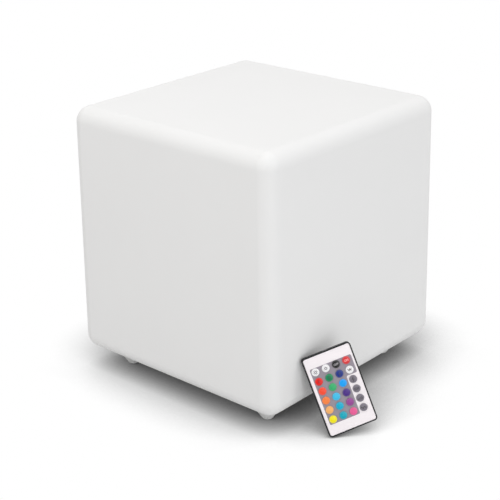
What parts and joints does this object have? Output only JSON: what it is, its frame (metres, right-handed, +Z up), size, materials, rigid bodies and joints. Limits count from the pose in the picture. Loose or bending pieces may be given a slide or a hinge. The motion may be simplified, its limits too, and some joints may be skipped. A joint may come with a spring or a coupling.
{
  "type": "led cube light",
  "caption": "Hollow, drafted plastic cube light on tapered feet, lit by a module screwed into its underside, with a card remote of press keys leaning against its front.",
  "frame": {"origin": "on the floor, midway between the cube's four feet", "axes": "+Z up; the front face, which the remote leans against, looks along -Y; +X to the right of someone who faces it"},
  "size_m": [0.2798, 0.3465, 0.3014],
  "materials": {
    "polyethylene": "satin",
    "foot_plastic": "matte",
    "base_plastic": "matte",
    "seal_rubber": "matte",
    "screw_steel": "bare",
    "frosted": "frosted",
    "board_aluminium": "white solder mask",
    "led_package": "gloss",
    "receiver_black": "gloss",
    "circuit_green": "satin",
    "cell_sleeve": "gloss",
    "bracket_steel": "bare",
    "lead_jacket": "satin",
    "socket_steel": "bare",
    "plug_rubber": "matte",
    "button_plastic": "satin",
    "switch_plastic": "satin",
    "lens_clear": "clear",
    "case_black": "satin",
    "face_white": "satin",
    "dome_steel": "bare",
    "emitter_dark": "gloss",
    "contact_brass": "bare",
    "tray_black": "satin",
    "coin_steel": "bare",
    "key_brighter": "gloss",
    "key_dimmer": "gloss",
    "key_off": "gloss",
    "key_on": "gloss",
    "key_red": "gloss",
    "key_green": "gloss",
    "key_blue": "gloss",
    "key_white": "gloss",
    "key_orange_red": "gloss",
    "key_light_green": "gloss",
    "key_sky_blue": "gloss",
    "key_flash": "gloss",
    "key_orange": "gloss",
    "key_cyan": "gloss",
    "key_violet": "gloss",
    "key_strobe": "gloss",
    "key_amber": "gloss",
    "key_turquoise": "gloss",
    "key_purple": "gloss",
    "key_fade": "gloss",
    "key_yellow": "gloss",
    "key_teal": "gloss",
    "key_pink": "gloss",
    "key_smooth": "gloss"
  },
  "bodies": {
    "lamp": {"shell": "polyethylene", "feet": "foot_plastic", "base_housing": "base_plastic", "base_gasket": "seal_rubber", "base_screws": "screw_steel", "diffuser_cap": "frosted", "led_board": "board_aluminium", "led_chips": "led_package", "inner_screws": "screw_steel", "ir_receiver": "receiver_black", "control_board": "circuit_green", "battery_pack": "cell_sleeve", "battery_bracket": "bracket_steel", "battery_cable": "lead_jacket", "led_cable": "lead_jacket", "charging_port": "socket_steel", "power_switch": "switch_plastic", "status_lens": "lens_clear"},
    "power_button": {"power_button": "button_plastic"},
    "port_plug": {"port_plug": "plug_rubber"},
    "battery_tray": {"battery_tray": "tray_black", "coin_cell": "coin_steel"},
    "remote": {"remote_case": "case_black", "remote_face": "face_white", "remote_board": "circuit_green", "dome_sheet": "dome_steel", "ir_emitter": "emitter_dark", "battery_contacts": "contact_brass"},
    "key_brighter": {"key_brighter": "key_brighter"},
    "key_dimmer": {"key_dimmer": "key_dimmer"},
    "key_off": {"key_off": "key_off"},
    "key_on": {"key_on": "key_on"},
    "key_red": {"key_red": "key_red"},
    "key_green": {"key_green": "key_green"},
    "key_blue": {"key_blue": "key_blue"},
    "key_white": {"key_white": "key_white"},
    "key_orange_red": {"key_orange_red": "key_orange_red"},
    "key_light_green": {"key_light_green": "key_light_green"},
    "key_sky_blue": {"key_sky_blue": "key_sky_blue"},
    "key_flash": {"key_flash": "key_flash"},
    "key_orange": {"key_orange": "key_orange"},
    "key_cyan": {"key_cyan": "key_cyan"},
    "key_violet": {"key_violet": "key_violet"},
    "key_strobe": {"key_strobe": "key_strobe"},
    "key_amber": {"key_amber": "key_amber"},
    "key_turquoise": {"key_turquoise": "key_turquoise"},
    "key_purple": {"key_purple": "key_purple"},
    "key_fade": {"key_fade": "key_fade"},
    "key_yellow": {"key_yellow": "key_yellow"},
    "key_teal": {"key_teal": "key_teal"},
    "key_pink": {"key_pink": "key_pink"},
    "key_smooth": {"key_smooth": "key_smooth"}
  },
  "joints": [
    {"name": "remote_lift", "type": "slide", "parent": "lamp", "child": "remote", "axis": [0, 0, 1], "range_m": [0, 0.15]},
    {"name": "battery_tray_slide", "type": "slide", "parent": "remote", "child": "battery_tray", "axis": [0.0531, -0.406, -0.9123], "range_m": [0, 0.026]},
    {"name": "power_button_press", "type": "slide", "parent": "lamp", "child": "power_button", "axis": [0, 0, 1], "range_m": [0, 0.001], "stiffness_N_per_m": 1500},
    {"name": "port_plug_pull", "type": "slide", "parent": "lamp", "child": "port_plug", "axis": [0, 0, -1], "range_m": [0, 0.016]},
    {"name": "key_brighter_press", "type": "slide", "parent": "remote", "child": "key_brighter", "axis": [0.641, 0.7144, -0.2807], "range_m": [0, 0.0003], "stiffness_N_per_m": 2500},
    {"name": "key_dimmer_press", "type": "slide", "parent": "remote", "child": "key_dimmer", "axis": [0.641, 0.7144, -0.2807], "range_m": [0, 0.0003], "stiffness_N_per_m": 2500},
    {"name": "key_off_press", "type": "slide", "parent": "remote", "child": "key_off", "axis": [0.641, 0.7144, -0.2807], "range_m": [0, 0.0003], "stiffness_N_per_m": 2500},
    {"name": "key_on_press", "type": "slide", "parent": "remote", "child": "key_on", "axis": [0.641, 0.7144, -0.2807], "range_m": [0, 0.0003], "stiffness_N_per_m": 2500},
    {"name": "key_red_press", "type": "slide", "parent": "remote", "child": "key_red", "axis": [0.641, 0.7144, -0.2807], "range_m": [0, 0.0003], "stiffness_N_per_m": 2500},
    {"name": "key_green_press", "type": "slide", "parent": "remote", "child": "key_green", "axis": [0.641, 0.7144, -0.2807], "range_m": [0, 0.0003], "stiffness_N_per_m": 2500},
    {"name": "key_blue_press", "type": "slide", "parent": "remote", "child": "key_blue", "axis": [0.641, 0.7144, -0.2807], "range_m": [0, 0.0003], "stiffness_N_per_m": 2500},
    {"name": "key_white_press", "type": "slide", "parent": "remote", "child": "key_white", "axis": [0.641, 0.7144, -0.2807], "range_m": [0, 0.0003], "stiffness_N_per_m": 2500},
    {"name": "key_orange_red_press", "type": "slide", "parent": "remote", "child": "key_orange_red", "axis": [0.641, 0.7144, -0.2807], "range_m": [0, 0.0003], "stiffness_N_per_m": 2500},
    {"name": "key_light_green_press", "type": "slide", "parent": "remote", "child": "key_light_green", "axis": [0.641, 0.7144, -0.2807], "range_m": [0, 0.0003], "stiffness_N_per_m": 2500},
    {"name": "key_sky_blue_press", "type": "slide", "parent": "remote", "child": "key_sky_blue", "axis": [0.641, 0.7144, -0.2807], "range_m": [0, 0.0003], "stiffness_N_per_m": 2500},
    {"name": "key_flash_press", "type": "slide", "parent": "remote", "child": "key_flash", "axis": [0.641, 0.7144, -0.2807], "range_m": [0, 0.0003], "stiffness_N_per_m": 2500},
    {"name": "key_orange_press", "type": "slide", "parent": "remote", "child": "key_orange", "axis": [0.641, 0.7144, -0.2807], "range_m": [0, 0.0003], "stiffness_N_per_m": 2500},
    {"name": "key_cyan_press", "type": "slide", "parent": "remote", "child": "key_cyan", "axis": [0.641, 0.7144, -0.2807], "range_m": [0, 0.0003], "stiffness_N_per_m": 2500},
    {"name": "key_violet_press", "type": "slide", "parent": "remote", "child": "key_violet", "axis": [0.641, 0.7144, -0.2807], "range_m": [0, 0.0003], "stiffness_N_per_m": 2500},
    {"name": "key_strobe_press", "type": "slide", "parent": "remote", "child": "key_strobe", "axis": [0.641, 0.7144, -0.2807], "range_m": [0, 0.0003], "stiffness_N_per_m": 2500},
    {"name": "key_amber_press", "type": "slide", "parent": "remote", "child": "key_amber", "axis": [0.641, 0.7144, -0.2807], "range_m": [0, 0.0003], "stiffness_N_per_m": 2500},
    {"name": "key_turquoise_press", "type": "slide", "parent": "remote", "child": "key_turquoise", "axis": [0.641, 0.7144, -0.2807], "range_m": [0, 0.0003], "stiffness_N_per_m": 2500},
    {"name": "key_purple_press", "type": "slide", "parent": "remote", "child": "key_purple", "axis": [0.641, 0.7144, -0.2807], "range_m": [0, 0.0003], "stiffness_N_per_m": 2500},
    {"name": "key_fade_press", "type": "slide", "parent": "remote", "child": "key_fade", "axis": [0.641, 0.7144, -0.2807], "range_m": [0, 0.0003], "stiffness_N_per_m": 2500},
    {"name": "key_yellow_press", "type": "slide", "parent": "remote", "child": "key_yellow", "axis": [0.641, 0.7144, -0.2807], "range_m": [0, 0.0003], "stiffness_N_per_m": 2500},
    {"name": "key_teal_press", "type": "slide", "parent": "remote", "child": "key_teal", "axis": [0.641, 0.7144, -0.2807], "range_m": [0, 0.0003], "stiffness_N_per_m": 2500},
    {"name": "key_pink_press", "type": "slide", "parent": "remote", "child": "key_pink", "axis": [0.641, 0.7144, -0.2807], "range_m": [0, 0.0003], "stiffness_N_per_m": 2500},
    {"name": "key_smooth_press", "type": "slide", "parent": "remote", "child": "key_smooth", "axis": [0.641, 0.7144, -0.2807], "range_m": [0, 0.0003], "stiffness_N_per_m": 2500}
  ]
}
